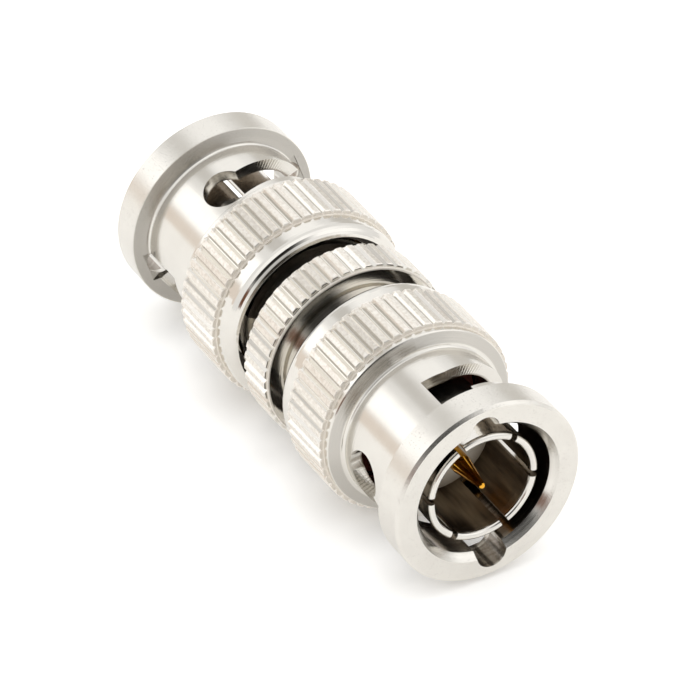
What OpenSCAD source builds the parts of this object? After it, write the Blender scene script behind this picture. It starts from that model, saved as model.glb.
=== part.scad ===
// Double-ended bayonet adapter for coaxial cable: a plug at each end, so that it joins two sockets.
// It stands on the front face of its far coupling nut, with its axis along Z.
// Each end is written once, in its own frame, with its middle at z = 0 and its open front at +z.

/* [Adapter] */
// Overall length, from the front of one coupling nut to the front of the other
overall_length = 36.9; // [35:0.1:42]
// Turn of the near coupling nut about the axis, which brings its entry grooves round
near_nut_turn = -86.5; // [-180:0.5:180]
// Turn of the far coupling nut about the axis
far_nut_turn = -19; // [-180:0.5:180]
// Turn of the slits in the near outer contact
near_contact_turn = -5; // [-30:1:30]
// Turn of the slits in the far outer contact
far_contact_turn = 24; // [-30:1:30]

/* [Coupling nut] */
// Wall between an entry groove and the rim of the front flange
flange_wall = 0.7; // [0.5:0.05:1]
// Thickness of the front flange at its rim
flange_rim = 2.25; // [1.8:0.05:2.5]
// How much thicker the flange is where it meets the neck, and how much the shoulder leans
face_lean = 0.33; // [0.1:0.01:0.5]
// Chamfer on the rim of the flange
flange_chamfer = 0.2; // [0.1:0.05:0.4]
// Small chamfer on the rim of the shoulder
shoulder_chamfer = 0.06; // [0.03:0.01:0.15]
// Wall of the neck between the flange and the shoulder
neck_wall = 0.85; // [0.7:0.01:1]
// Distance of the foot of the shoulder from the front
shoulder_at = 8.5; // [8.2:0.1:9]
// Small fillet in the two corners of the neck
neck_fillet = 0.22; // [0.1:0.01:0.3]
// Wall round the spring chamber, inside the ridges
nut_wall = 0.66; // [0.55:0.01:0.8]
// Large rounding of the rear edge
rear_round = 0.9; // [0.6:0.05:1]
// Wall behind the retaining ring, which ends the nut
rear_wall = 0.85; // [0.7:0.05:1]
// Space round the outer contact, which takes the barrel of a socket
barrel_space = 0.89; // [0.8:0.01:1]
// Width of the lead-in at the front face
lead_in_w = 0.41; // [0.3:0.01:0.5]
// Depth of the lead-in
lead_in_depth = 0.57; // [0.3:0.01:0.9]
// Depth of the bore, down to the inner shoulder that stops the nut
bore_depth = 11; // [10.6:0.1:11.4]
// Width of that shoulder, between the bore and the chamber that holds the springs
shoulder_w = 1.25; // [1.1:0.01:1.4]

/* [Cam slots] */
// Radius of a bayonet lug with its play, which is half the width of an entry groove
entry_r = 1.1; // [1.05:0.01:1.2]
// Depth of an entry groove, from the bore
entry_depth = 1.25; // [1.15:0.01:1.4]
// Width of the window where an entry groove meets its slot
window_w = 2.5; // [2.3:0.05:2.8]
// Rear edge of that window, from the front face
window_rear = 5.93; // [5.7:0.01:6.2]
// Width of the sloping slot along the axis
slot_w = 2.26; // [2.15:0.01:2.4]
// How far the slot draws the lug back in its quarter turn
slot_rise = 1.87; // [1.5:0.01:2]
// Radius of the round pocket at the end of the slot
pocket_r = 1.6; // [1.4:0.01:1.7]
// How far the pocket stops short of the slot's rear edge, so that it catches the lug
catch = 0.1; // [0.05:0.01:0.3]

/* [Knurls] */
// Number of ridges on a coupling nut
nut_ridges = 56; // [40:2:60]
// Turn of those ridges against the cam slots
nut_ridge_turn = 0.8; // [-3:0.1:3]
// Smooth band between the shoulder and the ridges of a coupling nut
front_band = 0.52; // [0.3:0.01:1]
// Smooth band between the ridges and the rounded rear edge
rear_band = 0.92; // [0.3:0.01:2]
// How far the ridges of the middle ring lie below those of the nuts
ring_step = 0.35; // [0.1:0.01:0.6]
// Turn of the ridges of the middle ring about the axis
ring_turn = 1.1; // [-4:0.1:4]
// Number of ridges on the middle ring
ring_ridges = 50; // [40:2:54]
// Depth of the grooves between the ridges
groove_depth = 0.25; // [0.15:0.01:0.3]
// Width of the flat floor of a groove
groove_floor = 0.06; // [0.03:0.01:0.12]
// Width of the flat top of a ridge
ridge_top = 0.35; // [0.25:0.01:0.4]
// Step from the floor of the grooves down to the smooth bands of a nut
band_step = 0.09; // [0.05:0.01:0.15]
// Broken edge at the ends of the ridges
ridge_bevel = 0.06; // [0.03:0.01:0.1]
// Fillet in the corner between the ends of the ridges and the smooth bands
band_fillet = 0.07; // [0.04:0.01:0.08]

/* [Middle body] */
// Half the width of the middle ring
ring_half_w = 1.46; // [1.3:0.01:1.8]
// Margin between the ridges and each face of the ring, which the grooves run out through
ring_margin = 0.16; // [0.1:0.01:0.4]
// Height of that margin over the floor of the grooves
margin_step = 0.03; // [0.02:0.01:0.06]
// Space for the washers and springs, between a hub and the wall of the chamber
spring_w = 0.8; // [0.7:0.01:0.9]
// Depth of the relief groove between a hub and the ring
relief_depth = 0.2; // [0.1:0.01:0.4]
// Width of that groove
relief_w = 0.18; // [0.1:0.01:0.25]
// Half the width of the inner rib between the sockets
rib_half_w = 1.5; // [1.2:0.1:1.8]

/* [Outer contact] */
// How far the tips of the fingers lie behind the front of the nut
finger_recess = 0.57; // [0.3:0.01:0.9]
// Outer radius of the fingers behind their lip
finger_r = 4.06; // [4:0.01:4.1]
// Wall of the fingers
finger_wall = 0.44; // [0.4:0.01:0.5]
// How much larger the shank is, which is pushed into the middle body
shank_step = 0.34; // [0.25:0.01:0.45]
// Height of the lip on the fingers, inside and outside
lip_h = 0.07; // [0.03:0.01:0.12]
// Length of the lip
lip_l = 0.6; // [0.5:0.05:1]
// Number of fingers
fingers = 6; // [4:1:8]
// Width of the slits between the fingers
slit_w = 0.5; // [0.3:0.01:0.7]
// Length of the slits
slit_l = 5.2; // [3:0.1:6]
// Thickness of the flange that the nut pulls on
collar_t = 0.9; // [0.7:0.05:1]

/* [Inner parts] */
// Distance of the insulator's front from the front of the nut
insulator_recess = 5.9; // [5.6:0.1:6.6]
// Thickness of the insulator's flange, which is clamped in the body
insulator_flange = 1; // [0.6:0.1:1.5]
// Radius of the bare part of the pin
pin_r = 0.675; // [0.66:0.005:0.7]
// How much thicker the root of the pin is, in the front wall of the insulator
root_step = 0.2; // [0.16:0.01:0.25]
// How far that root stands out of the insulator
root_proud = 0.06; // [0.03:0.01:0.2]
// Radius of the pin inside the insulators
pin_body_r = 1.05; // [0.95:0.01:1.2]
// Thickness of the insulator's front wall, which holds the pin
front_wall = 0.5; // [0.3:0.05:0.9]
// How far the tip of the pin lies behind the front of the nut
pin_recess = 0.74; // [0.5:0.01:1.2]
// Length of the taper at the end of the pin
pin_taper = 2.6; // [1:0.05:3.5]
// Radius of the tip of the pin
pin_tip_r = 0.21; // [0.15:0.01:0.4]
// Length of the rubber gasket along the axis
gasket_l = 1; // [0.6:0.1:1.5]

/* [Springs] */
// Travel of a coupling nut, forwards from rest
nut_travel = 0.95; // [0.6:0.05:1]
// Thickness of the two flat washers at each end
washer_t = 0.25; // [0.2:0.01:0.3]
// Thickness of the sheet that a wave washer is pressed from
wave_t = 0.2; // [0.12:0.01:0.2]
// Height that a wave washer keeps above its sheet when the nut is right forwards
wave_spare = 0.075; // [0.04:0.005:0.1]
// Number of waves in a wave washer
waves = 3; // [3:1:4]
// Thickness of the retaining ring in the nut
clip_t = 0.45; // [0.4:0.01:0.5]
// How deep the retaining ring sits in the wall of the nut
clip_bite = 0.22; // [0.15:0.01:0.25]
// Opening of the retaining ring, in degrees
clip_gap = 30; // [15:1:60]

/* [Fits] */
// Running gap between the nut and what turns in it
run_gap = 0.08; // [0.04:0.01:0.1]
// Gap between faces that slide on each other
face_gap = 0.05; // [0.02:0.01:0.08]
// Gap round parts that are pushed in and stay
seat_gap = 0.02; // [0.01:0.005:0.03]
// Gap between a hub and the rings round it
hub_gap = 0.12; // [0.08:0.01:0.2]

/* [Hidden] */

NICKEL = [0.80, 0.78, 0.74];
BRIGHT_NICKEL = [0.86, 0.84, 0.80];
GOLD = [0.85, 0.62, 0.22];
PTFE = [0.94, 0.94, 0.92];
RUBBER = [0.35, 0.12, 0.10];
SPRING = [0.62, 0.50, 0.36];

ROUND = 96;       // fineness of the large turned surfaces
SMALL_ROUND = 32; // fineness of holes, fillets and the pin
eps = 0.01;
over = 0.5;       // how far a cut runs past the wall it goes through
root_depth = 0.3; // how deep the knurls are rooted in the metal below them

// Places along the axis, in an end's own frame
half_l = overall_length / 2;
inner_shoulder = half_l - bore_depth;
collar_front = inner_shoulder - face_gap;
collar_rear = collar_front - collar_t;
washer_rear = collar_rear - washer_t;
wave_h = nut_travel / 2 + wave_t + wave_spare;
thrust_front = washer_rear - 2 * wave_h;
thrust_rear = thrust_front - washer_t;
clip_front = thrust_rear - face_gap;
clip_rear = clip_front - clip_t;
nut_rear = clip_rear - rear_wall;
shoulder_foot = half_l - shoulder_at;
shoulder_rim = shoulder_foot - face_lean;
ridge_front = shoulder_rim - front_band;
ridge_rear = nut_rear + rear_round + rear_band;
finger_front = half_l - finger_recess;
insulator_front = half_l - insulator_recess;
pin_front = half_l - pin_recess;

// Radii, from the outer contact outwards
contact_bore_r = finger_r - finger_wall;
socket_r = finger_r + shank_step;
bore_r = finger_r + barrel_space;
lead_in_r = bore_r + lead_in_w;
neck_r = bore_r + neck_wall;
entry_floor_r = bore_r + entry_depth;
flange_r = entry_floor_r + flange_wall;
chamber_r = bore_r + shoulder_w;
hub_r = chamber_r - spring_w;
band_r = chamber_r + nut_wall;
nut_ridge_r = band_r + band_step + groove_depth;
ring_ridge_r = nut_ridge_r - ring_step;
ring_r = ring_ridge_r - groove_depth + margin_step;

// Radii of what fits in the chamber and round the hub
guided_r = chamber_r - run_gap;
ring_inner_r = hub_r + hub_gap;
clip_groove_r = chamber_r + clip_bite + seat_gap;

// Slope of the cam slot, and its rear edge at the pocket, for each degree of turn
cam_steps = 28;
cam_start = 84; // degrees from the pocket, inside the window
cam_end = 5;    // degrees from the pocket, inside its rim
slope = slot_rise / 90;
pocket_at = window_rear + slot_rise - catch - pocket_r;
pocket_rear = window_rear + slot_rise - slope * cam_end;

// An end of the adapter in its place: the near end looks up, and the far end looks down
module near_end(turn = 0) { translate([0, 0, half_l]) rotate(turn) children(); }
module far_end(turn = 0) { translate([0, 0, half_l]) rotate([180, 0, 0]) rotate(turn) children(); }

// A flat ring from z0 to z1
module flat_ring(inner_r, outer_r, z0, z1) {
    rotate_extrude($fn = ROUND) translate([inner_r, z0]) square([outer_r - inner_r, z1 - z0]);
}

// Points of an arc, which replace a corner of an outline by a rounding about c
function arc(c, r, a0, a1, n = 6) = [for (i = [0:n]) let (a = a0 + (a1 - a0) * i / n) c + r * [cos(a), sin(a)]];

// Outline of a straight knurl: flat tops, sloping sides and narrow flat floors between them
function knurl_outline(count, top_r) = let (
    floor_r = top_r - groove_depth,
    half_top = asin(ridge_top / 2 / top_r),
    half_foot = 180 / count - asin(groove_floor / 2 / floor_r)
) [
    for (i = [0:count - 1]) let (mid = 360 * i / count) each [
        floor_r * [cos(mid - half_foot), sin(mid - half_foot)],
        top_r * [cos(mid - half_top), sin(mid - half_top)],
        top_r * [cos(mid + half_top), sin(mid + half_top)],
        floor_r * [cos(mid + half_foot), sin(mid + half_foot)]
    ]
];

// A knurled tube from z0 to z1. Its blank is turned first, to an outline of radii and heights.
module knurled_tube(count, top_r, inner_r, z0, z1, blank) {
    intersection() {
        translate([0, 0, z0]) linear_extrude(z1 - z0) difference() {
            polygon(knurl_outline(count, top_r));
            circle(r = inner_r, $fn = ROUND);
        }
        rotate_extrude($fn = ROUND) polygon(blank);
    }
}

// One cam slot, whose entry lies at 0 degrees and whose pocket lies a quarter turn clockwise
module cam_slot() {
    // entry groove from the front face
    translate([entry_floor_r - entry_r, 0, half_l - window_rear])
        cylinder(r = entry_r, h = window_rear + eps, $fn = SMALL_ROUND);
    // window behind the flange
    translate([bore_r - over, -window_w / 2, half_l - window_rear])
        cube([entry_depth + over, window_w, window_rear - flange_rim - face_lean / 2]);
    // sloping slot
    sloping_slot();
    // round pocket
    rotate(-90) translate([0, 0, half_l - pocket_at]) rotate([0, 90, 0])
        translate([0, 0, bore_r / 2]) cylinder(r = pocket_r, h = neck_r - bore_r / 2 + over, $fn = 48);
}

// The slot is a band between two radii that rises with the turn
module sloping_slot() {
    inner = bore_r - over;
    outer = neck_r + over;
    turns = [for (i = [0:cam_steps]) cam_start + (cam_end - cam_start) * i / cam_steps];
    ring = function (t) let (
        a = t - 90,
        rear = half_l - (pocket_rear - slope * t),
        front = rear + slot_w
    ) [
        [inner * cos(a), inner * sin(a), rear], [outer * cos(a), outer * sin(a), rear],
        [outer * cos(a), outer * sin(a), front], [inner * cos(a), inner * sin(a), front]
    ];
    points = [for (t = turns) each ring(t)];
    sides = [for (i = [0:cam_steps - 1], k = [0:3]) let (b = 4 * i, n = (k + 1) % 4)
        each [[b + k, b + 4 + k, b + 4 + n], [b + k, b + 4 + n, b + n]]];
    last = 4 * cam_steps;
    polyhedron(points, concat(sides, [[3, 2, 1], [3, 1, 0], [last, last + 1, last + 2], [last, last + 2, last + 3]]));
}

// Outline of half a section through the nut, without its knurl
function nut_outline() = let (
    front = half_l, rear = nut_rear,
    flange_foot = half_l - flange_rim - face_lean,
    lean = face_lean / (band_r - neck_r)
) concat(
    [[lead_in_r, front], [bore_r, front - lead_in_depth], [bore_r, inner_shoulder], [chamber_r, inner_shoulder]],
    [[chamber_r, rear]],
    arc([band_r - rear_round, rear + rear_round], rear_round,
        -acos((rear_round - band_r + chamber_r) / rear_round), 0),
    // fillets at both ends of the ridges, which the knurled tube covers in between
    arc([band_r + band_fillet, ridge_rear - band_fillet], band_fillet, 180, 100, 4),
    [[band_r + band_fillet, ridge_rear + over], [band_r + band_fillet, ridge_front - over]],
    arc([band_r + band_fillet, ridge_front + band_fillet], band_fillet, 260, 180, 4),
    [[band_r, shoulder_rim - shoulder_chamfer]],
    [[band_r - shoulder_chamfer, shoulder_rim + shoulder_chamfer * lean]],
    arc([neck_r + neck_fillet, shoulder_foot + neck_fillet], neck_fillet, 270, 180, 4),
    arc([neck_r + neck_fillet, flange_foot - neck_fillet], neck_fillet, 180, 90, 4),
    [[flange_r, half_l - flange_rim], [flange_r, front - flange_chamfer], [flange_r - flange_chamfer, front]]
);

module coupling_nut() {
    color(NICKEL) difference() {
        union() {
            rotate_extrude($fn = ROUND) polygon(nut_outline());
            rotate(nut_ridge_turn)
                knurled_tube(nut_ridges, nut_ridge_r, band_r - root_depth, ridge_rear, ridge_front, [
                    [0, ridge_rear - eps], [nut_ridge_r - ridge_bevel - eps, ridge_rear - eps],
                    [nut_ridge_r + eps, ridge_rear + ridge_bevel], [nut_ridge_r + eps, ridge_front - ridge_bevel],
                    [nut_ridge_r - ridge_bevel - eps, ridge_front + eps], [0, ridge_front + eps]
                ]);
        }
        // groove of the retaining ring
        flat_ring(chamber_r - 0.2, clip_groove_r, clip_rear - seat_gap, clip_front + seat_gap);
        for (side = [0, 180]) rotate(side) cam_slot();
    }
}

module outer_contact() {
    tip_r = (finger_r + lip_h - contact_bore_r + lip_h) / 2;
    tip_mid = contact_bore_r - lip_h + tip_r;
    color(BRIGHT_NICKEL) difference() {
        rotate_extrude($fn = ROUND) polygon(concat(
            [
                [contact_bore_r, rib_half_w + insulator_flange], [socket_r - seat_gap, rib_half_w + insulator_flange],
                [socket_r - seat_gap, collar_rear], [guided_r, collar_rear], [guided_r, collar_front],
                [finger_r, collar_front], [finger_r, finger_front - tip_r - lip_l]
            ],
            arc([tip_mid, finger_front - tip_r], tip_r, 0, 180, 10),
            [[contact_bore_r, finger_front - tip_r - lip_l]]
        ));
        for (i = [0:fingers - 1]) rotate(360 * i / fingers)
            translate([contact_bore_r / 2, -slit_w / 2, finger_front - slit_l])
                cube([finger_r, slit_w, slit_l + eps]);
    }
}

module insulator() {
    inner_r = pin_body_r + seat_gap;
    lip_r = pin_r + root_step + seat_gap;
    body_r = contact_bore_r - seat_gap;
    brim_r = socket_r - seat_gap;
    brim_rear = rib_half_w + seat_gap;
    brim_front = rib_half_w + insulator_flange - seat_gap;
    color(PTFE) rotate_extrude($fn = ROUND) polygon([
        [inner_r, seat_gap], [body_r, seat_gap], [body_r, brim_rear], [brim_r, brim_rear],
        [brim_r, brim_front], [body_r, brim_front], [body_r, insulator_front], [lip_r, insulator_front],
        [lip_r, insulator_front - front_wall], [inner_r, insulator_front - front_wall]
    ]);
}

module gasket() {
    color(RUBBER) flat_ring(finger_r + seat_gap, bore_r - run_gap, collar_front, collar_front + gasket_l);
}

module front_washer() {
    color(NICKEL) flat_ring(ring_inner_r, guided_r, washer_rear, collar_rear);
}

module thrust_washer() {
    color(NICKEL) flat_ring(ring_inner_r, guided_r, thrust_rear, thrust_front);
}

module retaining_ring() {
    color(SPRING) rotate(clip_gap / 2) rotate_extrude(angle = 360 - clip_gap, $fn = ROUND)
        translate([ring_inner_r + hub_gap, clip_rear])
            square([chamber_r + clip_bite - ring_inner_r - hub_gap, clip_t]);
}

// A wave washer from z0 up, as high as one of the pair, starting its wave at the angle phase
module wave_washer(z0, phase) {
    inner = ring_inner_r;
    outer = guided_r;
    steps = 24 * waves;
    swing = (wave_h - wave_t) / 2 - seat_gap;
    level = function (a) z0 + wave_h / 2 + swing * cos(waves * (a - phase));
    points = [for (i = [0:steps - 1]) let (a = 360 * i / steps, z = level(a)) each [
        [inner * cos(a), inner * sin(a), z - wave_t / 2], [outer * cos(a), outer * sin(a), z - wave_t / 2],
        [outer * cos(a), outer * sin(a), z + wave_t / 2], [inner * cos(a), inner * sin(a), z + wave_t / 2]
    ]];
    total = 4 * steps;
    color(SPRING) polyhedron(points, [for (i = [0:steps - 1], k = [0:3]) let (b = 4 * i, n = (k + 1) % 4)
        each [[b + k, b + n, (b + 4 + n) % total], [b + k, (b + 4 + n) % total, (b + 4 + k) % total]]]);
}

module rear_wave_washer() { wave_washer(thrust_front, 0); }
module front_wave_washer() { wave_washer(thrust_front + wave_h, 180 / waves); }

module middle_body() {
    edge = 0.05;
    core_r = ring_r - root_depth;
    ridge_end = ring_half_w - ring_margin;
    color(NICKEL) translate([0, 0, half_l]) union() {
        rotate_extrude($fn = ROUND) difference() {
            union() {
                // core of the ring, and the two hubs
                translate([contact_bore_r, -ring_half_w]) square([core_r - contact_bore_r, 2 * ring_half_w]);
                translate([contact_bore_r, -collar_rear]) square([hub_r - contact_bore_r, 2 * collar_rear]);
            }
            for (side = [-1, 1]) {
                // socket for the shank of an outer contact
                translate([0, side > 0 ? rib_half_w : -collar_rear - eps])
                    square([socket_r, collar_rear - rib_half_w + eps]);
                // relief groove
                translate([hub_r, side > 0 ? ring_half_w - relief_depth : -ring_half_w - eps])
                    square([relief_w, relief_depth + eps]);
            }
        }
        // rim of the ring, whose grooves run out through the margins
        rotate(ring_turn)
            knurled_tube(ring_ridges, ring_ridge_r, core_r - over / 2, -ring_half_w, ring_half_w, [
                [0, -ring_half_w - eps], [ring_r - edge - eps, -ring_half_w - eps], [ring_r, edge - ring_half_w],
                [ring_r, -ridge_end], [ring_ridge_r - ridge_bevel, -ridge_end],
                [ring_ridge_r + eps, ridge_bevel + eps - ridge_end],
                [ring_ridge_r + eps, ridge_end - ridge_bevel - eps], [ring_ridge_r - ridge_bevel, ridge_end],
                [ring_r, ridge_end], [ring_r, ring_half_w - edge], [ring_r - edge - eps, ring_half_w + eps],
                [0, ring_half_w + eps]
            ]);
    }
}

module center_pin() {
    body_front = insulator_front - front_wall - seat_gap;
    root_front = insulator_front + root_proud;
    root_r = pin_r + root_step;
    edge = 0.05;
    color(GOLD) translate([0, 0, half_l]) rotate_extrude($fn = 64) polygon([
        [0, -pin_front], [pin_tip_r - edge, -pin_front], [pin_tip_r, edge - pin_front],
        [pin_r, pin_taper - pin_front], [pin_r, -root_front], [root_r, -root_front],
        [root_r, -body_front], [pin_body_r, -body_front], [pin_body_r, body_front], [root_r, body_front],
        [root_r, root_front], [pin_r, root_front], [pin_r, pin_front - pin_taper],
        [pin_tip_r, pin_front - edge], [pin_tip_r - edge, pin_front], [0, pin_front]
    ]);
}

middle_body();
center_pin();
near_end(near_contact_turn) outer_contact();  // near_outer_contact
far_end(far_contact_turn) outer_contact();  // far_outer_contact
near_end() insulator();  // near_insulator
far_end() insulator();  // far_insulator
near_end() gasket();  // near_gasket
far_end() gasket();  // far_gasket
near_end() front_washer();  // near_front_washer
far_end() front_washer();  // far_front_washer
near_end() front_wave_washer();  // near_front_wave_washer
far_end() front_wave_washer();  // far_front_wave_washer
near_end() rear_wave_washer();  // near_rear_wave_washer
far_end() rear_wave_washer();  // far_rear_wave_washer
near_end() thrust_washer();  // near_thrust_washer
far_end() thrust_washer();  // far_thrust_washer
near_end() retaining_ring();  // near_retaining_ring
far_end() retaining_ring();  // far_retaining_ring
near_end(near_nut_turn) coupling_nut();  // near_coupling_nut
far_end(far_nut_turn) coupling_nut();  // far_coupling_nut
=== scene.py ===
"""Looks of a plug to plug bayonet adapter for coaxial cable.

Laid out as an add-on and run as a script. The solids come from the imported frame. This file gives
each of them its finish, makes the four wave washers anew, and builds the table, the cards and the
camera.
"""

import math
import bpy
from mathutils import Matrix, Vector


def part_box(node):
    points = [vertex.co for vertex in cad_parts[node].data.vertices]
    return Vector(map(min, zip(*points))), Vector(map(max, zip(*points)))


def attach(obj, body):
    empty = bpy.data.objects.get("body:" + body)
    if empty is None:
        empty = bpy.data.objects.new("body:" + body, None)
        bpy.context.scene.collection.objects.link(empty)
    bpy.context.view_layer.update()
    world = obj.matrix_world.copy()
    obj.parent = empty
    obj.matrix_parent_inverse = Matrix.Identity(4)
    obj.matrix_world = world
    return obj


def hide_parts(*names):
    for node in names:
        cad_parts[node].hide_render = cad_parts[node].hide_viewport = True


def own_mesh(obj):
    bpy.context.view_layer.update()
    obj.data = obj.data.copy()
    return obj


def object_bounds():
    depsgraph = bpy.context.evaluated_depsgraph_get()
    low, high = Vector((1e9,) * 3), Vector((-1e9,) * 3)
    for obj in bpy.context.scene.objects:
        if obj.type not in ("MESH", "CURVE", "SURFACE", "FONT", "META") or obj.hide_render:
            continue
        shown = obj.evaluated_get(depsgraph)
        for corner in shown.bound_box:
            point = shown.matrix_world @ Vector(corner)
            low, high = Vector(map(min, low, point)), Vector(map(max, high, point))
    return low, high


bl_info = {
    "name": "Bayonet Adapter Looks",
    "version": (1, 0, 0),
    "blender": (4, 5, 0),
    "location": "View3D > Sidebar > Adapter",
    "description": "Dresses the pieces of a plug to plug adapter and builds its studio",
    "category": "Object",
}

import bpy
from bpy.props import FloatProperty, FloatVectorProperty, IntProperty, PointerProperty
from mathutils import Matrix, Vector

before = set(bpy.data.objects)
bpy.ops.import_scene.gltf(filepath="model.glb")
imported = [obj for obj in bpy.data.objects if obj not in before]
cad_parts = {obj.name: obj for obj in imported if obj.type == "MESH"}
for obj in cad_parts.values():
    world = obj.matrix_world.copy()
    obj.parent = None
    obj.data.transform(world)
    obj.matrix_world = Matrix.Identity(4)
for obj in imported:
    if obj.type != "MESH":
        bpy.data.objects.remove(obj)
CAD_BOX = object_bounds()
MM = 0.001
ENDS = ("near", "far")
# middle of the adapter along its axis, and from there to its front faces
MIDDLE = (CAD_BOX[0].z + CAD_BOX[1].z) / 2
HALF_MM = (CAD_BOX[1].z - CAD_BOX[0].z) / 2 / MM

# Where the finish changes on the nuts, in millimetres. A radius is measured from the axis, and a
# height from the middle of the adapter, so that both ends are alike.
SKIN_DEPTH = 0.05  # the drawn skin is left only this near the ridges' full radius
RIDGE_DEPTH = 0.32  # from the skin down to the foot of the ridges' ends
RIDGE_END_HALF = 0.13  # half the width of the strip that a ridge's end takes up
FLANGE_RADIUS = 5.2  # the satin front flange lies outside this
FLANGE_BACK_RADII = (5.88, 6.84)
SHOULDER_RADII = (5.95, 6.8)
SHOULDER_HEIGHTS = (9.6, 9.93)
ENTRY_RADII = (5.42, 6.35)
ENTRY_TOP = 18.33
# deeper in the bore than this, the plate gets painted shade
MOUTH_DEPTH = 0.75  # the light plate of the face reaches this far into the bore

# nearly all values of a noise lie between these two
NOISE_SPAN = (0.3, 0.7)
# how far the lines swing a roughness down and up
ROUGHNESS_SWING = (0.8, 1.25)
RING_POINTS = 180  # round one wave washer
CARD_STEPS = 24  # squares along each side of a card
CARD_FADE = 0.3  # the share of a card's side over which it thins out


def linear(hex_text):
    """An sRGB hex colour as the linear colour that the nodes read."""
    parts = [int(hex_text[i : i + 2], 16) / 255 for i in (0, 2, 4)]
    return tuple(c / 12.92 if c <= 0.04045 else ((c + 0.055) / 1.055) ** 2.4 for c in parts)


def colour_setting(name, hex_text, description):
    return FloatVectorProperty(
        name=name, description=description, default=linear(hex_text), subtype="COLOR",
        size=3, min=0, max=1,
    )


def length_setting(name, metres, description):
    return FloatProperty(
        name=name, description=description, default=metres, unit="LENGTH", min=0, precision=5
    )


def share_setting(name, share, description):
    return FloatProperty(
        name=name, description=description, default=share, min=0, max=1, subtype="FACTOR"
    )


def node_box(node_name):
    """Lowest and highest corners of a node, as plain vectors."""
    low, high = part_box(node_name)
    return Vector(low), Vector(high)


class AdapterFinishes(bpy.types.PropertyGroup):
    """Colours and roughness of the finishes."""

    nickel: colour_setting("Nickel", "E6E3DC", "Bright nickel plate where it was turned")
    nickel_shade: colour_setting("Nickel, cloudy", "DAD6CF", "The same plate in cloudy places")
    ridge_top: colour_setting("Ridge tops", "F1ECE4", "Plate on the drawn skin of the ridge tops")
    ridge_mottle: colour_setting("Ridge tops, mottled", "E0D9CF", "Darker grains of that skin")
    # painted shade: a greyer plate on the flange's back and the shoulder, for the dark they mirror
    painted_shade_grey: colour_setting("Painted shade, neck faces", "B3AFA8", "Plate on the flange's back and shoulder")
    # painted shade: a darker, browner plate down in the bores, where shade falls; the pits take it
    # too
    bore_shade_and_pits: colour_setting("Thin plate", "6E5D4B", "Painted shade down in the bores, and the pits' colour")
    # painted shade inside the spring fingers, with lighter streaks
    sleeve_shade: colour_setting("Sleeve shade", "4E4134", "Painted shade inside the spring fingers")
    sleeve_shade_streak: colour_setting("Sleeve shade streaks", "9C8D78", "Lighter streaks in that painted shade")
    gold: colour_setting("Gold", "FFC64A", "Gold plate of the pin")
    gold_shade: colour_setting("Gold, deep", "D98E26", "Gold where brass shows through a little")
    bronze: colour_setting("Bronze", "B98D5A", "Spring bronze of the wave washers")
    bronze_shade: colour_setting("Bronze, brown", "8F6A41", "Bronze where it has gone brown")
    # the rings are nearly black as painted shade in the gaps between the nuts and the ring
    steel: colour_setting("Steel", "3A3836", "Blackened steel of the retaining rings")
    steel_shade: colour_setting("Steel, worn", "4C4743", "The same steel under thin blacking")
    ptfe: colour_setting("PTFE", "F8F3E8", "Turned fluoroplastic of the insulators")
    ptfe_shade: colour_setting("PTFE, shade", "ECE4D4", "The same in its slightly clouded places")
    # painted shade round the rim of the insulator's face, next to the fingers
    ptfe_rim_shade: colour_setting("PTFE, rim shade", "8C7C66", "Painted shade at the rim, next to the fingers")
    rubber: colour_setting("Rubber", "5A1E14", "Silicone rubber of the gaskets")
    rubber_shade: colour_setting("Rubber, dusty", "7A3A2C", "The same rubber with a little bloom")
    turned_roughness: share_setting("Turned roughness", 0.17, "Turned and plated faces")
    satin_roughness: share_setting("Flange roughness", 0.27, "The satin front flange")
    polished_roughness: share_setting("Polished roughness", 0.09, "Rear ends and ring faces")
    skin_roughness: share_setting("Ridge top roughness", 0.33, "Drawn skin on the ridge tops")


class WaveWasherSizes(bpy.types.PropertyGroup):
    """Sizes of the wave washers. Their outer radius and their room come from the frame."""

    waves: IntProperty(name="Waves", description="Waves round one washer", default=3, min=2, max=8)
    inner_radius: length_setting("Inner radius", 5.52 * MM, "Radius of a washer's hole")
    sheet: length_setting("Sheet", 0.2 * MM, "Thickness of the sheet")
    edge: length_setting("Edge", 0.04 * MM, "Rounding that tumbling leaves on the edges")
    stack_height: length_setting("Stack height", 1.5 * MM, "Room of two washers at rest")
    pulled_height: length_setting("Pulled height", 0.55 * MM, "Their room under a pulled nut")


class StudioSizes(bpy.types.PropertyGroup):
    """Camera, table and lights."""

    camera_right: length_setting(
        "Camera right", 8.910 * MM, "Front centre's place to the right of the view's middle"
    )
    camera_down: length_setting(
        "Camera down", 9.1666 * MM, "Front centre's place below the view's middle"
    )
    camera_distance: length_setting(
        "Camera distance", 521.62 * MM, "From the front centre to the camera, along the view"
    )
    table_half: length_setting("Table", 0.6, "Half the side of the table")
    contact_shade: length_setting(
        "Contact shade", 3.5 * MM, "How near the metal the table's added light fades"
    )
    card_reach: length_setting("Card distance", 0.4, "From the adapter's middle to each card")
    table_colour: colour_setting("Table colour", "F4F3F2", "White table")
    sky_colour: colour_setting("Room colour", "FFFEFC", "Pale room all round")
    lens: FloatProperty(
        name="Lens", description="Focal length on a 36 mm film", default=417.4, min=10,
        subtype="DISTANCE_CAMERA",
    )
    sky_strength: FloatProperty(
        name="Room light", description="Plain light of the room", default=0.8, min=0, max=2
    )
    table_glow: share_setting("Table seen", 0.46, "Light added where the camera sees the table")
    table_mirrored: share_setting("Table mirrored", 0.33, "Light added where metal mirrors it")


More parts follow.
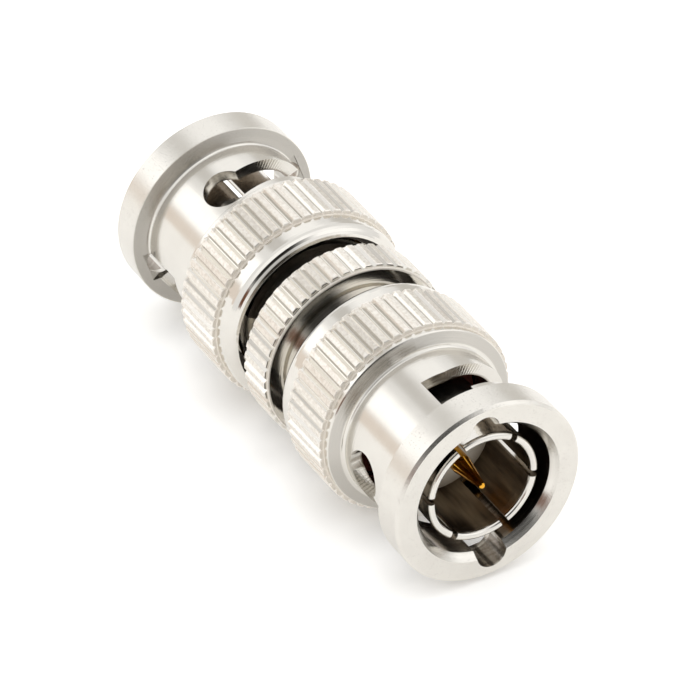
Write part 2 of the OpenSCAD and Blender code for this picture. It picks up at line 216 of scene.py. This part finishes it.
def add_node(tree, kind, inputs=None, **settings):
    """Adds a node with its settings. Each input is a value or the output socket that feeds it."""
    made = tree.nodes.new(kind)
    for name, value in settings.items():
        setattr(made, name, value)
    for key, value in (inputs or {}).items():
        if isinstance(value, bpy.types.NodeSocket):
            tree.links.new(value, made.inputs[key])
            continue
        socket = made.inputs[key]
        size = len(socket.default_value) if hasattr(socket.default_value, "__len__") else 0
        # a colour socket takes the three parts of a colour and full cover
        socket.default_value = (*value, 1.0) if size and len(value) + 1 == size else value
    return made


def new_material(name):
    """An empty node material, with its tree."""
    material = bpy.data.materials.new(name)
    material.use_nodes = True
    material.node_tree.nodes.clear()
    return material, material.node_tree


def surface(tree, shader):
    """Joins the last shader to the material's output."""
    add_node(tree, "ShaderNodeOutputMaterial", {"Surface": shader.outputs[0]})


def calculate(tree, operation, *values):
    """The result of one sum on numbers or sockets."""
    return add_node(tree, "ShaderNodeMath", dict(enumerate(values)), operation=operation).outputs[0]


def times(tree, first, second):
    return calculate(tree, "MULTIPLY", first, second)


def without(tree, share):
    """What a share leaves of 1."""
    return calculate(tree, "SUBTRACT", 1.0, share)


def blend(tree, share, first, second):
    """Mixes two numbers by a share."""
    return add_node(tree, "ShaderNodeMix", {0: share, 2: first, 3: second}).outputs[0]


def tint(tree, share, first, second):
    """Mixes two colours by a share."""
    inputs = {0: share, 6: first, 7: second}
    return add_node(tree, "ShaderNodeMix", inputs, data_type="RGBA").outputs[2]


def spread(tree, value, low, high, first=0.0, last=1.0):
    """Spreads what lies between two limits over another range."""
    inputs = {0: value, 1: low, 2: high, 3: first, 4: last}
    return add_node(tree, "ShaderNodeMapRange", inputs).outputs[0]


def beyond(tree, value, limit_mm, blur_mm):
    """0 where a length is under a limit and 1 where it is over it, with a short run between."""
    inputs = {0: value, 1: (limit_mm - blur_mm) * MM, 2: (limit_mm + blur_mm) * MM}
    ramp = add_node(tree, "ShaderNodeMapRange", inputs, interpolation_type="SMOOTHSTEP")
    return ramp.outputs[0]


def between(tree, value, low_mm, high_mm, blur_mm):
    """1 where a length lies between two limits, 0 elsewhere."""
    over = beyond(tree, value, low_mm, blur_mm)
    return times(tree, over, without(tree, beyond(tree, value, high_mm, blur_mm)))


def place_on_piece(tree):
    """Object coordinates, which stay with a piece as it moves."""
    return add_node(tree, "ShaderNodeTexCoord").outputs["Object"]


def distances(tree):
    """Place on the piece, distance from the axis, and distance from the adapter's middle."""
    place = place_on_piece(tree)
    split = add_node(tree, "ShaderNodeSeparateXYZ", {0: place}).outputs
    flat = add_node(tree, "ShaderNodeCombineXYZ", {0: split[0], 1: split[1]}).outputs[0]
    radius = add_node(tree, "ShaderNodeVectorMath", {0: flat}, operation="LENGTH").outputs["Value"]
    along = calculate(tree, "SUBTRACT", split[2], MIDDLE)
    return place, radius, calculate(tree, "ABSOLUTE", along)


def cloud(tree, place, size_mm, detail=3.0):
    """Soft irregular patches of about one size."""
    inputs = {"Vector": place, "Scale": 1 / (size_mm * MM), "Detail": detail}
    return add_node(tree, "ShaderNodeTexNoise", inputs).outputs["Fac"]


def turned_lines(tree, radius, height, pitch_mm):
    """Irregular lines round the axis, along a turned cylinder and across a turned face alike."""
    path = calculate(tree, "ADD", radius, height)
    inputs = {"W": path, "Scale": 1 / (pitch_mm * MM), "Detail": 2.0}
    return add_node(tree, "ShaderNodeTexNoise", inputs, noise_dimensions="1D").outputs["Fac"]


def pits(tree, place, spacing_mm, share):
    """Small round pits, 1 in the middle of each, a share of the cells having one."""
    inputs = {"Vector": place, "Scale": 1 / (spacing_mm * MM), "Randomness": 1.0}
    cells = add_node(tree, "ShaderNodeTexVoronoi", inputs).outputs
    pit_radius, pit_edge = 0.12, 0.3
    dot = spread(tree, cells["Distance"], pit_radius, pit_edge, 1.0, 0.0)
    pick = add_node(tree, "ShaderNodeSeparateColor", {0: cells["Color"]}).outputs[0]
    return times(tree, dot, calculate(tree, "LESS_THAN", pick, share))


def line_roughness(tree, lines, roughness):
    """A roughness that swings a little with the turned lines."""
    smooth, coarse = ROUGHNESS_SWING
    return spread(tree, lines, *NOISE_SPAN, roughness * smooth, roughness * coarse)


def relief(tree, pattern, depth_mm, strength=0.4):
    """The normal of a face that a pattern raises."""
    inputs = {"Height": pattern, "Strength": strength, "Distance": depth_mm * MM}
    return add_node(tree, "ShaderNodeBump", inputs).outputs[0]


def metal(tree, plate, rough, normal):
    """Ends a tree in a bare metal surface."""
    inputs = {"Base Color": plate, "Metallic": 1.0, "Roughness": rough, "Normal": normal}
    surface(tree, add_node(tree, "ShaderNodeBsdfPrincipled", inputs))


def turned_nickel(name, looks, ridge_radius, ridge_ends, flange_back, bore_radius, polished):
    """Bright nickel on turned and straight knurled brass.

    Turned faces are bright and carry fine lines round the axis. The tops of the ridges keep the
    dull, pitted skin of the drawn rod, while their rolled sides are smooth; their ends take the
    lighter skin colour as painted light. The front flange is satin with tiny pits. Down in the
    bores a darker, browner plate, streaked by the boring tool, is painted shade, and the flange's
    back and the shoulder get a greyer plate as painted shade. All places are in millimetres.
    """
    material, tree = new_material(name)
    place, radius, height = distances(tree)
    # coarser than a finishing cut, so that the lines show
    lines = turned_lines(tree, radius, height, 0.1)

    ridge_top = ridge_radius - SKIN_DEPTH
    tops = beyond(tree, radius, ridge_top, 0.02)
    on_flange = beyond(tree, height, flange_back, 0.05)
    flange = times(tree, on_flange, beyond(tree, radius, FLANGE_RADIUS, 0.1))
    dull = calculate(tree, "MAXIMUM", tops, flange)
    outside = beyond(tree, radius, bore_radius, 0.12)
    mouth = beyond(tree, height, HALF_MM - MOUTH_DEPTH, 0.5)
    bore = times(tree, without(tree, outside), without(tree, mouth))
    # the entry grooves cut through the flange, further out than the bore
    entry_length = between(tree, height, flange_back + 0.4, ENTRY_TOP, 0.05)
    entry = times(tree, entry_length, between(tree, radius, *ENTRY_RADII, 0.03))
    inside = calculate(tree, "MAXIMUM", bore, times(tree, entry, 0.7))
    # painted shade: the two faces that look at each other over the neck, the flange's back and the
    # shoulder, get a greyer plate that stands in for the dark they mirror
    back_height = between(tree, height, flange_back - 0.16, flange_back + 0.22, 0.02)
    back = times(tree, back_height, between(tree, radius, *FLANGE_BACK_RADII, 0.04))
    shoulder_height = between(tree, height, *SHOULDER_HEIGHTS, 0.02)
    shoulder = times(tree, shoulder_height, between(tree, radius, *SHOULDER_RADII, 0.04))
    ends = 0.0
    for end in ridge_ends:
        ring = between(tree, height, end - RIDGE_END_HALF, end + RIDGE_END_HALF, 0.02)
        ends = calculate(tree, "MAXIMUM", ends, ring)
    ends = times(tree, ends, beyond(tree, radius, ridge_top - RIDGE_DEPTH, 0.02))

    plate = tint(tree, cloud(tree, place, 1.6), looks.nickel, looks.nickel_shade)
    mottle = spread(tree, cloud(tree, place, 0.2), 0.38, 0.62)
    plate = tint(tree, tops, plate, tint(tree, mottle, looks.ridge_mottle, looks.ridge_top))
    # painted light: the ridges' ends take the lighter skin colour, against the grey they mirror
    plate = tint(tree, ends, plate, looks.ridge_top)
    plate = tint(tree, back, plate, looks.painted_shade_grey)
    plate = tint(tree, times(tree, shoulder, 0.7), plate, looks.painted_shade_grey)
    # painted shade: down in the bores and entry grooves the plate turns darker and browner,
    # streaked along the tool's path
    streak = spread(tree, turned_lines(tree, radius, height, 0.22), 0.35, 0.65)
    thin = tint(tree, streak, looks.bore_shade_and_pits, looks.nickel_shade)
    thin = tint(tree, 0.7, thin, looks.bore_shade_and_pits)
    plate = tint(tree, inside, plate, thin)
    specks = times(tree, pits(tree, place, 0.14, 0.4), dull)
    plate = tint(tree, times(tree, specks, 0.3), plate, looks.bore_shade_and_pits)

    rough = line_roughness(tree, lines, looks.turned_roughness)
    shine = between(tree, height, *polished, 0.02)
    rough = blend(tree, shine, rough, looks.polished_roughness)
    rough = blend(tree, ends, rough, 0.7)
    rough = blend(tree, flange, rough, looks.satin_roughness)
    rough = blend(tree, tops, rough, looks.skin_roughness)

    # a form cut is smoother than the feed marks of the other faces
    marks = blend(tree, calculate(tree, "ADD", back, shoulder), 0.7, 0.15)
    turned = times(tree, times(tree, lines, marks), without(tree, dull))
    grain = times(tree, cloud(tree, place, 0.12, 2.0), dull)
    pattern = calculate(tree, "SUBTRACT", calculate(tree, "ADD", turned, grain), specks)
    metal(tree, plate, rough, relief(tree, pattern, 0.008))
    return material


def finger_nickel(looks):
    """Bright nickel on spring brass.

    Drawn and polished, so the lip of the fingers shows as a clear bright ring. Inside the sleeve
    the plate is painted shade: dark brown, with lighter soft streaks along the axis.
    """
    material, tree = new_material("bright nickel on spring brass")
    place, radius, height = distances(tree)
    wall_radius, lip_depth, streak_stretch = 3.78, 0.86, 0.16
    wall = without(tree, beyond(tree, radius, wall_radius, 0.04))
    below_lip = without(tree, beyond(tree, height, HALF_MM - lip_depth, 0.08))
    inside = times(tree, wall, below_lip)
    drawn = add_node(
        tree, "ShaderNodeMapping", {"Vector": place, "Scale": (1.0, 1.0, streak_stretch)}
    ).outputs[0]
    streak = spread(tree, cloud(tree, drawn, 1.0), 0.38, 0.72)
    plate = tint(tree, cloud(tree, place, 1.2), looks.nickel, looks.nickel_shade)
    # painted shade: the inside wall below the lip takes a dark brown with lighter streaks along the
    # axis
    plate = tint(tree, inside, plate, tint(tree, streak, looks.sleeve_shade, looks.sleeve_shade_streak))
    lines = turned_lines(tree, radius, height, 0.16)
    rough = spread(tree, lines, *NOISE_SPAN, 0.14, 0.22)
    rough = blend(tree, inside, rough, 0.28)
    metal(tree, plate, rough, relief(tree, lines, 0.003, strength=0.35))
    return material


def turned_metal(name, light, shade, roughness, lines_mm, relief_mm, patch_mm):
    """A small metal piece: cloudy between two tones, with fine lines round the axis."""
    material, tree = new_material(name)
    place, radius, height = distances(tree)
    plate = tint(tree, cloud(tree, place, patch_mm), light, shade)
    lines = turned_lines(tree, radius, height, lines_mm)
    metal(tree, plate, line_roughness(tree, lines, roughness), relief(tree, lines, relief_mm))
    return material


def turned_ptfe(looks):
    """PTFE turned from rod: waxy, a little cloudy, soft in its gloss, with faint tool rings."""
    material, tree = new_material("turned ptfe")
    place, radius, height = distances(tree)
    body = tint(tree, cloud(tree, place, 2.0), looks.ptfe, looks.ptfe_shade)
    # painted shade: the rim of the face darkens towards the fingers, where the sleeve shades it
    body = tint(tree, beyond(tree, radius, 3.2, 1.0), body, looks.ptfe_rim_shade)
    lines = turned_lines(tree, radius, height, 0.15)
    surface(tree, add_node(tree, "ShaderNodeBsdfPrincipled", {
        "Base Color": body, "Roughness": spread(tree, lines, *NOISE_SPAN, 0.38, 0.52),
        "IOR": 1.35, "Normal": relief(tree, lines, 0.01),
    }))
    return material


def moulded_rubber(looks):
    """Silicone rubber, moulded: dull, with a fine bloom of dust that makes it paler in places."""
    material, tree = new_material("moulded silicone rubber")
    place = place_on_piece(tree)
    bloom = spread(tree, cloud(tree, place, 0.4, 5.0), 0.45, 0.7)
    surface(tree, add_node(tree, "ShaderNodeBsdfPrincipled", {
        "Base Color": tint(tree, bloom, looks.rubber, looks.rubber_shade), "Roughness": 0.62,
        "IOR": 1.41, "Normal": relief(tree, cloud(tree, place, 0.1), 0.01, strength=0.3),
    }))
    return material


def dress(material, *node_names):
    """Gives CAD nodes their finish through the objects' own slots."""
    for node_name in node_names:
        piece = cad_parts[node_name]
        if not piece.material_slots:
            raise RuntimeError(f"{node_name} has no material slot")
        for slot in piece.material_slots:
            slot.link = "OBJECT"
            slot.material = material


def both(piece):
    """The names of a piece at both ends."""
    return tuple(f"{end}_{piece}" for end in ENDS)


def ridge_radius_mm(node_name):
    """Radius over the ridges of a knurled piece."""
    high = node_box(node_name)[1]
    return max(high.x, high.y) / MM


class ADAPTER_OT_coupling_nuts(bpy.types.Operator):
    """Nickel plate of the two coupling nuts"""

    bl_idname = "adapter.coupling_nuts"
    bl_label = "Coupling nuts"

    def execute(self, context):
        nickel = turned_nickel(
            "bright nickel on knurled brass", context.scene.adapter_finishes,
            ridge_radius=ridge_radius_mm("near_coupling_nut"), ridge_ends=(4.97, 9.1),
            flange_back=15.98, bore_radius=5.02, polished=(2.9, 4.86),
        )
        dress(nickel, *both("coupling_nut"))
        return {"FINISHED"}


class ADAPTER_OT_middle_body(bpy.types.Operator):
    """Nickel plate of the middle body and its knurled ring"""

    bl_idname = "adapter.middle_body"
    bl_label = "Middle body"

    def execute(self, context):
        # it has no flange, so that lies beyond the end
        nickel = turned_nickel(
            "bright nickel on the knurled ring", context.scene.adapter_finishes,
            ridge_radius=ridge_radius_mm("middle_body"), ridge_ends=(1.46,),
            flange_back=30.0, bore_radius=3.9, polished=(1.3, 1.6),
        )
        dress(nickel, "middle_body")
        return {"FINISHED"}


class ADAPTER_OT_outer_contacts(bpy.types.Operator):
    """Nickel plate of the two slotted outer contacts"""

    bl_idname = "adapter.outer_contacts"
    bl_label = "Outer contacts"

    def execute(self, context):
        dress(finger_nickel(context.scene.adapter_finishes), *both("outer_contact"))
        return {"FINISHED"}


class ADAPTER_OT_center_pin(bpy.types.Operator):
    """Gold plate of the pin"""

    bl_idname = "adapter.center_pin"
    bl_label = "Center pin"

    def execute(self, context):
        looks = context.scene.adapter_finishes
        # gold over turned brass: a warm clear mirror with hardly any lines
        gold = turned_metal(
            "gold plate on turned brass", looks.gold, looks.gold_shade,
            roughness=0.13, lines_mm=0.09, relief_mm=0.001, patch_mm=0.9,
        )
        dress(gold, "center_pin")
        return {"FINISHED"}


class ADAPTER_OT_insulators(bpy.types.Operator):
    """PTFE of the two insulators"""

    bl_idname = "adapter.insulators"
    bl_label = "Insulators"

    def execute(self, context):
        dress(turned_ptfe(context.scene.adapter_finishes), *both("insulator"))
        return {"FINISHED"}


class ADAPTER_OT_gaskets(bpy.types.Operator):
    """Rubber of the two gaskets"""

    bl_idname = "adapter.gaskets"
    bl_label = "Gaskets"

    def execute(self, context):
        dress(moulded_rubber(context.scene.adapter_finishes), *both("gasket"))
        return {"FINISHED"}


class ADAPTER_OT_flat_washers(bpy.types.Operator):
    """Plate of the flat washers in the spring chambers"""

    bl_idname = "adapter.flat_washers"
    bl_label = "Flat washers"

    def execute(self, context):
        looks = context.scene.adapter_finishes
        # stamped and barrel plated: greyer and softer than the turned pieces
        plate = turned_metal(
            "barrel nickel on stamped brass", looks.nickel, looks.nickel_shade,
            roughness=0.3, lines_mm=0.14, relief_mm=0.004, patch_mm=0.8,
        )
        dress(plate, *both("front_washer"), *both("thrust_washer"))
        return {"FINISHED"}


class ADAPTER_OT_retaining_rings(bpy.types.Operator):
    """Nearly black steel of the retaining rings, as painted shade in the gaps"""

    bl_idname = "adapter.retaining_rings"
    bl_label = "Retaining rings"

    def execute(self, context):
        looks = context.scene.adapter_finishes
        # nearly black, with a soft sheen: painted shade, so that the gaps between the nuts and the
        # ring read dark
        steel = turned_metal(
            "nearly black steel as painted gap shade", looks.steel, looks.steel_shade,
            roughness=0.34, lines_mm=0.12, relief_mm=0.004, patch_mm=0.6,
        )
        dress(steel, *both("retaining_ring"))
        return {"FINISHED"}


def wave_washer_tree():
    """A ring of sheet that swings up and down as it goes round, with named sizes."""
    tree = bpy.data.node_groups.new("wave washer", "GeometryNodeTree")
    tree.interface.new_socket("Geometry", in_out="INPUT", socket_type="NodeSocketGeometry")
    for name, kind in (
        ("Inner Radius", "Float"), ("Outer Radius", "Float"), ("Sheet", "Float"),
        ("Edge", "Float"), ("Swing", "Float"), ("Height", "Float"), ("Turn", "Float"),
        ("Waves", "Int"), ("Finish", "Material"),
    ):
        tree.interface.new_socket(name, in_out="INPUT", socket_type=f"NodeSocket{kind}")
    tree.interface.new_socket("Geometry", in_out="OUTPUT", socket_type="NodeSocketGeometry")
    sizes = add_node(tree, "NodeGroupInput").outputs

    width = calculate(tree, "SUBTRACT", sizes["Outer Radius"], sizes["Inner Radius"])
    radius = calculate(tree, "ADD", sizes["Inner Radius"], times(tree, width, 0.5))
    inputs = {"Resolution": RING_POINTS, "Radius": radius}
    circle = add_node(tree, "GeometryNodeCurvePrimitiveCircle", inputs).outputs["Curve"]
    position = add_node(tree, "GeometryNodeInputPosition").outputs[0]
    split = add_node(tree, "ShaderNodeSeparateXYZ", {0: position}).outputs
    angle = calculate(tree, "ARCTAN2", split[1], split[0])
    phase = times(tree, calculate(tree, "SUBTRACT", angle, sizes["Turn"]), sizes["Waves"])
    wave = calculate(tree, "COSINE", phase)
    rise = calculate(tree, "MULTIPLY_ADD", wave, sizes["Swing"], sizes["Height"])
    offset = add_node(tree, "ShaderNodeCombineXYZ", {2: rise}).outputs[0]
    inputs = {"Geometry": circle, "Offset": offset}
    path = add_node(tree, "GeometryNodeSetPosition", inputs).outputs[0]
    path = add_node(tree, "GeometryNodeSetCurveNormal", {"Curve": path}, mode="Z_UP").outputs[0]

    section = add_node(
        tree, "GeometryNodeCurvePrimitiveQuadrilateral",
        {"Width": width, "Height": sizes["Sheet"]}, mode="RECTANGLE",
    ).outputs[0]
    inputs = {"Curve": section, "Radius": sizes["Edge"], "Count": 2}
    section = add_node(tree, "GeometryNodeFilletCurve", inputs, mode="POLY").outputs[0]
    inputs = {"Curve": path, "Profile Curve": section}
    sheet = add_node(tree, "GeometryNodeCurveToMesh", inputs).outputs[0]
    sheet = add_node(tree, "GeometryNodeRealizeInstances", {0: sheet}).outputs[0]
    inputs = {"Geometry": sheet, "Material": sizes["Finish"]}
    sheet = add_node(tree, "GeometryNodeSetMaterial", inputs).outputs[0]
    add_node(tree, "NodeGroupOutput", {"Geometry": sheet})
    return tree


def wave_washer(tree, node_name, turn, sizes, material):
    """Makes one wave washer in the room of its CAD node, as a plain mesh at the origin."""
    low, high = node_box(node_name)
    start = bpy.data.meshes.new(f"{node_name}_start")
    piece = bpy.data.objects.new(f"{node_name}_sheet", start)
    bpy.context.scene.collection.objects.link(piece)
    maker = piece.modifiers.new("wave washer", "NODES")
    maker.node_group = tree
    values = {
        "Inner Radius": sizes.inner_radius, "Outer Radius": high.x, "Sheet": sizes.sheet,
        "Edge": sizes.edge, "Swing": (high.z - low.z - sizes.sheet) / 2,
        "Height": (low.z + high.z) / 2, "Turn": math.radians(turn), "Waves": sizes.waves,
        "Finish": material,
    }
    for item in tree.interface.items_tree:
        if item.in_out == "INPUT" and item.name in values:
            maker[item.identifier] = values[item.name]
    shown = piece.evaluated_get(bpy.context.evaluated_depsgraph_get())
    made = bpy.data.meshes.new_from_object(shown)
    if not made.polygons:
        raise RuntimeError(f"no wave washer was made for {node_name}")
    made.name = f"{node_name}_sheet"
    piece.modifiers.remove(maker)
    piece.data = made
    bpy.data.meshes.remove(start)
    return piece


class ADAPTER_OT_wave_washers(bpy.types.Operator):
    """Two wave washers at each end"""

    bl_idname = "adapter.wave_washers"
    bl_label = "Wave washers"

    def execute(self, context):
        looks, sizes = context.scene.adapter_finishes, context.scene.adapter_wave_washers
        # cold rolled strip, stamped: satin, brown in patches
        bronze = turned_metal(
            "rolled spring bronze", looks.bronze, looks.bronze_shade,
            roughness=0.28, lines_mm=0.1, relief_mm=0.003, patch_mm=0.7,
        )
        tree = wave_washer_tree()
        # the two washers of one end touch crest to crest
        crest = 180 / sizes.waves
        for end, rear_turn, front_turn in (("near", 0, crest), ("far", crest, 0)):
            for place, turn in (("rear", rear_turn), ("front", front_turn)):
                node_name = f"{end}_{place}_wave_washer"
                piece = wave_washer(tree, node_name, turn, sizes, bronze)
                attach(piece, "adapter")
                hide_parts(node_name)
                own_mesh(piece)
        return {"FINISHED"}


# name, colour, strength, first and last azimuth, lowest and highest z of the direction
CARDS = (
    ("left_softbox", "FFFFFF", 1.55, -60, -12, -0.94, -0.36),
    ("top_softbox", "FFFFFF", 1.2, -140, -84, -0.98, -0.36),
    ("grey_card", "DEDCD9", 1.0, -90, -64, -0.96, -0.36),
    ("back_card", "E0DDD8", 0.95, -186, -142, -0.98, -0.36),
    ("warm_card", "F3E8DE", 1.04, -22, 8, -0.96, -0.36),
    ("rear_flag", "6A6F78", 1.0, -72, 16, -0.9995, -0.85),
    ("right_card", "FFFFFF", 1.35, -172, -104, -0.1, 0.9),
    ("strip_card", "FFFFFF", 1.3, -134, -14, 0.1, 0.38),
    ("camera_flag", "2E2D2B", 1.0, -118, -8, 0.33, 0.997),
    ("brown_card", "7A5644", 1.0, -26, 6, 0.30, 0.86),
)


def card(name, colour, strength, azimuths, heights, reach):
    """A curved card round the middle of the adapter, unseen by the camera and without a shadow.

    It thins out towards its edges, so that its mirror image in the plate has no hard line. Only
    the cards that shine brighter than white light the table.
    """
    run = range(CARD_STEPS + 1)
    fade = [min(1.0, min(i, CARD_STEPS - i) / CARD_STEPS / CARD_FADE) for i in run]
    fade = [f * f * (3 - 2 * f) for f in fade]
    points, faces, cover = [], [], []
    for i in run:
        z = heights[0] + (heights[1] - heights[0]) * i / CARD_STEPS
        out = reach * math.sqrt(1 - z * z)
        for j in run:
            a = math.radians(azimuths[0] + (azimuths[1] - azimuths[0]) * j / CARD_STEPS)
            points.append((out * math.cos(a), out * math.sin(a), MIDDLE + reach * z))
            cover.append(fade[i] * fade[j])
    row = CARD_STEPS + 1
    for i in range(CARD_STEPS):
        for k in range(i * row, i * row + CARD_STEPS):
            faces.append((k, k + 1, k + row + 1, k + row))
    mesh = bpy.data.meshes.new(name)
    mesh.from_pydata(points, [], faces)
    mesh.attributes.new("cover", "FLOAT", "POINT").data.foreach_set("value", cover)
    piece = bpy.data.objects.new(name, mesh)
    bpy.context.scene.collection.objects.link(piece)
    material, tree = new_material(name.replace("_", " "))
    glow = add_node(tree, "ShaderNodeEmission", {"Color": linear(colour), "Strength": strength})
    share = add_node(tree, "ShaderNodeAttribute", attribute_name="cover").outputs["Fac"]
    clear = add_node(tree, "ShaderNodeBsdfTransparent")
    inputs = {0: share, 1: clear.outputs[0], 2: glow.outputs[0]}
    surface(tree, add_node(tree, "ShaderNodeMixShader", inputs))
    mesh.materials.append(material)
    piece.visible_camera = False
    piece.visible_shadow = False
    piece.visible_diffuse = strength > 1


def white_table(sizes):
    """The table under the adapter: white paint, one sided, kept white where it shows."""
    height, half = CAD_BOX[1].y, sizes.table_half
    square = ((-half, -half), (half, -half), (half, half), (-half, half))
    corners = [(x, height, z) for x, z in square]
    mesh = bpy.data.meshes.new("table")
    mesh.from_pydata(corners, [], [(0, 1, 2, 3)])
    table = bpy.data.objects.new("table", mesh)
    bpy.context.scene.collection.objects.link(table)
    material, tree = new_material("white table paint")
    patches = cloud(tree, place_on_piece(tree), 40)
    paint = tint(tree, patches, linear("F8F8F7"), sizes.table_colour)
    diffuse = add_node(tree, "ShaderNodeBsdfDiffuse", {"Color": paint})
    path = add_node(tree, "ShaderNodeLightPath").outputs
    mirrored = calculate(tree, "MAXIMUM", path["Is Glossy Ray"], path["Is Transmission Ray"])
    # close to the metal the added light fades, so that the shadow of the contact stays
    open_air = add_node(
        tree, "ShaderNodeAmbientOcclusion", {"Distance": sizes.contact_shade}, samples=16
    ).outputs["AO"]
    seen = times(tree, path["Is Camera Ray"], times(tree, open_air, sizes.table_glow))
    strength = calculate(tree, "MULTIPLY_ADD", mirrored, sizes.table_mirrored, seen)
    glow = add_node(tree, "ShaderNodeEmission", {"Color": (1, 1, 1), "Strength": strength})
    lit = add_node(tree, "ShaderNodeAddShader", {0: diffuse.outputs[0], 1: glow.outputs[0]})
    clear = add_node(tree, "ShaderNodeBsdfTransparent")
    back = add_node(tree, "ShaderNodeNewGeometry").outputs["Backfacing"]
    inputs = {0: back, 1: lit.outputs[0], 2: clear.outputs[0]}
    surface(tree, add_node(tree, "ShaderNodeMixShader", inputs))
    mesh.materials.append(material)


def pale_room(sizes):
    """The world: a plain pale room, white where it is seen or mirrored."""
    world = bpy.data.worlds.new("pale room")
    bpy.context.scene.world = world
    world.use_nodes = True
    tree = world.node_tree
    tree.nodes.clear()
    path = add_node(tree, "ShaderNodeLightPath").outputs
    seen = calculate(tree, "MAXIMUM", path["Is Camera Ray"], path["Is Glossy Ray"])
    seen = calculate(tree, "MAXIMUM", seen, path["Is Transmission Ray"])
    inputs = {"Color": sizes.sky_colour, "Strength": sizes.sky_strength}
    room = add_node(tree, "ShaderNodeBackground", inputs).outputs[0]
    white = add_node(tree, "ShaderNodeBackground", {"Color": (1, 1, 1), "Strength": 1.0}).outputs[0]
    mix = add_node(tree, "ShaderNodeMixShader", {0: seen, 1: room, 2: white})
    add_node(tree, "ShaderNodeOutputWorld", {"Surface": mix.outputs[0]})


def camera(sizes):
    """The camera: a long lens that looks down on the open front of the near end."""
    right = Vector((-0.8634, 0.0, 0.5045)).normalized()
    back = Vector((0.4008, -0.6074, 0.6859)).normalized()
    up = back.cross(right).normalized()
    right = up.cross(back).normalized()
    front_centre = Vector((0, 0, CAD_BOX[1].z))
    data = bpy.data.cameras.new("camera")
    data.lens, data.sensor_width = sizes.lens, 36
    data.clip_start, data.clip_end = 0.01, 10
    made = bpy.data.objects.new("camera", data)
    bpy.context.scene.collection.objects.link(made)
    aside = up * sizes.camera_down - right * sizes.camera_right
    made.location = front_centre + aside + back * sizes.camera_distance
    made.rotation_mode = "QUATERNION"
    made.rotation_quaternion = Matrix((right, up, back)).transposed().to_quaternion()
    bpy.context.scene.camera = made


class ADAPTER_OT_stage(bpy.types.Operator):
    """White table, pale room, studio cards and camera"""

    bl_idname = "adapter.stage"
    bl_label = "Stage"

    def execute(self, context):
        sizes = context.scene.adapter_studio
        context.scene.view_settings.view_transform = "Standard"
        camera(sizes)
        white_table(sizes)
        pale_room(sizes)
        for i, (name, colour, strength, first, last, lowest, highest) in enumerate(CARDS):
            # each card stands a little further in, so that no two share a surface
            reach = sizes.card_reach * (1 - 0.02 * i)
            card(name, colour, strength, (first, last), (lowest, highest), reach)
        return {"FINISHED"}


STEPS = (
    ADAPTER_OT_coupling_nuts, ADAPTER_OT_middle_body, ADAPTER_OT_outer_contacts,
    ADAPTER_OT_center_pin, ADAPTER_OT_insulators, ADAPTER_OT_gaskets, ADAPTER_OT_flat_washers,
    ADAPTER_OT_retaining_rings, ADAPTER_OT_wave_washers, ADAPTER_OT_stage,
)


class ADAPTER_PT_looks(bpy.types.Panel):
    """Lists the pieces, the sizes and the colours"""

    bl_idname = "ADAPTER_PT_looks"
    bl_label = "Adapter looks"
    bl_space_type = "VIEW_3D"
    bl_region_type = "UI"
    bl_category = "Adapter"

    def draw(self, context):
        scene = context.scene
        for step in STEPS:
            self.layout.operator(step.bl_idname)
        for group in (scene.adapter_finishes, scene.adapter_wave_washers, scene.adapter_studio):
            box = self.layout.box()
            for name in group.bl_rna.properties.keys():
                if name not in ("rna_type", "name"):
                    box.prop(group, name)


CLASSES = (AdapterFinishes, WaveWasherSizes, StudioSizes, *STEPS, ADAPTER_PT_looks)


def register():
    for entry in CLASSES:
        bpy.utils.register_class(entry)
    bpy.types.Scene.adapter_finishes = PointerProperty(type=AdapterFinishes)
    bpy.types.Scene.adapter_wave_washers = PointerProperty(type=WaveWasherSizes)
    bpy.types.Scene.adapter_studio = PointerProperty(type=StudioSizes)


def unregister():
    del bpy.types.Scene.adapter_studio
    del bpy.types.Scene.adapter_wave_washers
    del bpy.types.Scene.adapter_finishes
    for entry in reversed(CLASSES):
        bpy.utils.unregister_class(entry)


def main():
    register()
    bpy.ops.adapter.coupling_nuts()
    bpy.ops.adapter.middle_body()
    bpy.ops.adapter.outer_contacts()
    bpy.ops.adapter.center_pin()
    bpy.ops.adapter.insulators()
    bpy.ops.adapter.gaskets()
    bpy.ops.adapter.flat_washers()
    bpy.ops.adapter.retaining_rings()
    bpy.ops.adapter.wave_washers()
    bpy.ops.adapter.stage()


if __name__ == "__main__":
    main()
